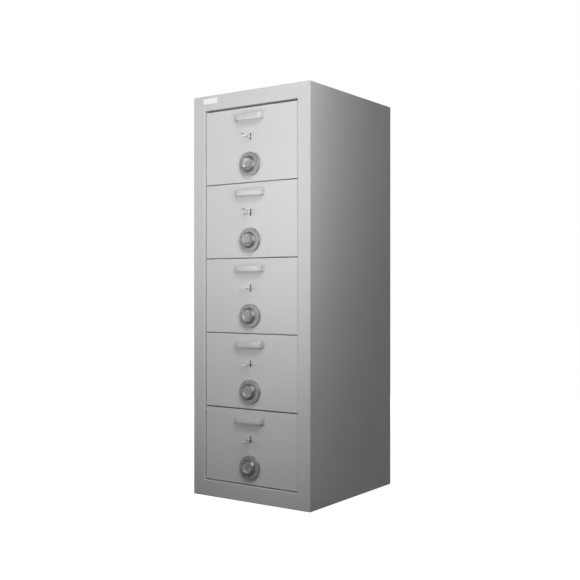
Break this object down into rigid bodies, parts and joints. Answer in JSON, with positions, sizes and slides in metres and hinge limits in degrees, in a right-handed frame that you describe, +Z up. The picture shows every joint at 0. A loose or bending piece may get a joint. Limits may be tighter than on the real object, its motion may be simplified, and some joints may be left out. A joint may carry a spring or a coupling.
{
  "type": "fireproof filing cabinet",
  "caption": "Tall steel filing cabinet with cast insulation and a column of pull-out drawers, each with a bow handle, a key lock and a combination dial.",
  "frame": {"origin": "centre of the cabinet's underside, on the floor", "axes": "+Z up, front towards -Y, +X to the right as seen from the front"},
  "size_m": [0.55, 0.646, 1.556],
  "materials": {
    "case_paint": "satin",
    "inner_paint": "matte",
    "zinc_steel": "satin",
    "insulation": "matte",
    "seal_strip": "matte",
    "dial_metal": "satin",
    "key_metal": "satin"
  },
  "bodies": {
    "cabinet": {"face_frame": "case_paint", "outer_wrap": "case_paint", "top_pan": "case_paint", "base_pan": "case_paint", "insulation_jacket": "insulation", "compartment_liners": "inner_paint", "strike_plates": "zinc_steel", "flame_seals": "seal_strip", "cabinet_rails": "zinc_steel"},
    "drawer_1": {"drawer_1_face": "case_paint", "drawer_1_insulation": "insulation", "drawer_1_box": "inner_paint", "handle_1": "case_paint", "locks_1": "zinc_steel", "dial_ring_1": "dial_metal"},
    "slide_1": {"slide_middles_1": "zinc_steel"},
    "bolt_1": {"bolt_1": "zinc_steel"},
    "key_1": {"key_1": "key_metal"},
    "dial_1": {"dial_1": "dial_metal"},
    "drawer_2": {"drawer_2_face": "case_paint", "drawer_2_insulation": "insulation", "drawer_2_box": "inner_paint", "handle_2": "case_paint", "locks_2": "zinc_steel", "dial_ring_2": "dial_metal"},
    "slide_2": {"slide_middles_2": "zinc_steel"},
    "bolt_2": {"bolt_2": "zinc_steel"},
    "key_2": {"key_2": "key_metal"},
    "dial_2": {"dial_2": "dial_metal"},
    "drawer_3": {"drawer_3_face": "case_paint", "drawer_3_insulation": "insulation", "drawer_3_box": "inner_paint", "handle_3": "case_paint", "locks_3": "zinc_steel", "dial_ring_3": "dial_metal"},
    "slide_3": {"slide_middles_3": "zinc_steel"},
    "bolt_3": {"bolt_3": "zinc_steel"},
    "key_3": {"key_3": "key_metal"},
    "dial_3": {"dial_3": "dial_metal"},
    "drawer_4": {"drawer_4_face": "case_paint", "drawer_4_insulation": "insulation", "drawer_4_box": "inner_paint", "handle_4": "case_paint", "locks_4": "zinc_steel", "dial_ring_4": "dial_metal"},
    "slide_4": {"slide_middles_4": "zinc_steel"},
    "bolt_4": {"bolt_4": "zinc_steel"},
    "key_4": {"key_4": "key_metal"},
    "dial_4": {"dial_4": "dial_metal"},
    "drawer_5": {"drawer_5_face": "case_paint", "drawer_5_insulation": "insulation", "drawer_5_box": "inner_paint", "handle_5": "case_paint", "locks_5": "zinc_steel", "dial_ring_5": "dial_metal"},
    "slide_5": {"slide_middles_5": "zinc_steel"},
    "bolt_5": {"bolt_5": "zinc_steel"},
    "key_5": {"key_5": "key_metal"},
    "dial_5": {"dial_5": "dial_metal"}
  },
  "joints": [
    {"name": "drawer_1_slide", "type": "slide", "parent": "cabinet", "child": "drawer_1", "axis": [0, -1, 0], "range_m": [0, 0.45]},
    {"name": "slide_1_travel", "type": "slide", "parent": "cabinet", "child": "slide_1", "axis": [0, -1, 0], "range_m": [0, 0.225]},
    {"name": "key_1_turn", "type": "hinge", "parent": "drawer_1", "child": "key_1", "pos_m": [0, -0.32, 1.38], "axis": [0, -1, 0], "range_deg": [-45, 45]},
    {"name": "bolt_1_throw", "type": "slide", "parent": "drawer_1", "child": "bolt_1", "axis": [0, 0, 1], "range_m": [-0.005, 0.005]},
    {"name": "dial_1_turn", "type": "hinge", "parent": "drawer_1", "child": "dial_1", "pos_m": [0, -0.3, 1.27552], "axis": [0, -1, 0], "continuous": true},
    {"name": "drawer_2_slide", "type": "slide", "parent": "cabinet", "child": "drawer_2", "axis": [0, -1, 0], "range_m": [0, 0.45]},
    {"name": "slide_2_travel", "type": "slide", "parent": "cabinet", "child": "slide_2", "axis": [0, -1, 0], "range_m": [0, 0.225]},
    {"name": "key_2_turn", "type": "hinge", "parent": "drawer_2", "child": "key_2", "pos_m": [0, -0.32, 1.09412], "axis": [0, -1, 0], "range_deg": [-15, 75]},
    {"name": "bolt_2_throw", "type": "slide", "parent": "drawer_2", "child": "bolt_2", "axis": [0, 0, 1], "range_m": [-0.00833, 0.00167]},
    {"name": "dial_2_turn", "type": "hinge", "parent": "drawer_2", "child": "dial_2", "pos_m": [0, -0.3, 0.98964], "axis": [0, -1, 0], "continuous": true},
    {"name": "drawer_3_slide", "type": "slide", "parent": "cabinet", "child": "drawer_3", "axis": [0, -1, 0], "range_m": [0, 0.45]},
    {"name": "slide_3_travel", "type": "slide", "parent": "cabinet", "child": "slide_3", "axis": [0, -1, 0], "range_m": [0, 0.225]},
    {"name": "key_3_turn", "type": "hinge", "parent": "drawer_3", "child": "key_3", "pos_m": [0, -0.32, 0.80824], "axis": [0, -1, 0], "range_deg": [-90, 0]},
    {"name": "bolt_3_throw", "type": "slide", "parent": "drawer_3", "child": "bolt_3", "axis": [0, 0, 1], "range_m": [0, 0.01]},
    {"name": "dial_3_turn", "type": "hinge", "parent": "drawer_3", "child": "dial_3", "pos_m": [0, -0.3, 0.70376], "axis": [0, -1, 0], "continuous": true},
    {"name": "drawer_4_slide", "type": "slide", "parent": "cabinet", "child": "drawer_4", "axis": [0, -1, 0], "range_m": [0, 0.45]},
    {"name": "slide_4_travel", "type": "slide", "parent": "cabinet", "child": "slide_4", "axis": [0, -1, 0], "range_m": [0, 0.225]},
    {"name": "key_4_turn", "type": "hinge", "parent": "drawer_4", "child": "key_4", "pos_m": [0, -0.32, 0.52236], "axis": [0, -1, 0], "range_deg": [-80, 10]},
    {"name": "bolt_4_throw", "type": "slide", "parent": "drawer_4", "child": "bolt_4", "axis": [0, 0, 1], "range_m": [-0.00111, 0.00889]},
    {"name": "dial_4_turn", "type": "hinge", "parent": "drawer_4", "child": "dial_4", "pos_m": [0, -0.3, 0.41788], "axis": [0, -1, 0], "continuous": true},
    {"name": "drawer_5_slide", "type": "slide", "parent": "cabinet", "child": "drawer_5", "axis": [0, -1, 0], "range_m": [0, 0.45]},
    {"name": "slide_5_travel", "type": "slide", "parent": "cabinet", "child": "slide_5", "axis": [0, -1, 0], "range_m": [0, 0.225]},
    {"name": "key_5_turn", "type": "hinge", "parent": "drawer_5", "child": "key_5", "pos_m": [0, -0.32, 0.23648], "axis": [0, -1, 0], "range_deg": [-90, 0]},
    {"name": "bolt_5_throw", "type": "slide", "parent": "drawer_5", "child": "bolt_5", "axis": [0, 0, 1], "range_m": [0, 0.01]},
    {"name": "dial_5_turn", "type": "hinge", "parent": "drawer_5", "child": "dial_5", "pos_m": [0, -0.3, 0.132], "axis": [0, -1, 0], "continuous": true}
  ],
  "couplings": [
    {"joint": "slide_1_travel", "follows": "drawer_1_slide", "ratio": 0.5},
    {"joint": "key_1_turn", "follows": "bolt_1_throw", "rad_per_m": -157.08},
    {"joint": "slide_2_travel", "follows": "drawer_2_slide", "ratio": 0.5},
    {"joint": "key_2_turn", "follows": "bolt_2_throw", "rad_per_m": -157.08},
    {"joint": "slide_3_travel", "follows": "drawer_3_slide", "ratio": 0.5},
    {"joint": "key_3_turn", "follows": "bolt_3_throw", "rad_per_m": -157.08},
    {"joint": "slide_4_travel", "follows": "drawer_4_slide", "ratio": 0.5},
    {"joint": "key_4_turn", "follows": "bolt_4_throw", "rad_per_m": -157.08},
    {"joint": "slide_5_travel", "follows": "drawer_5_slide", "ratio": 0.5},
    {"joint": "key_5_turn", "follows": "bolt_5_throw", "rad_per_m": -157.08}
  ]
}
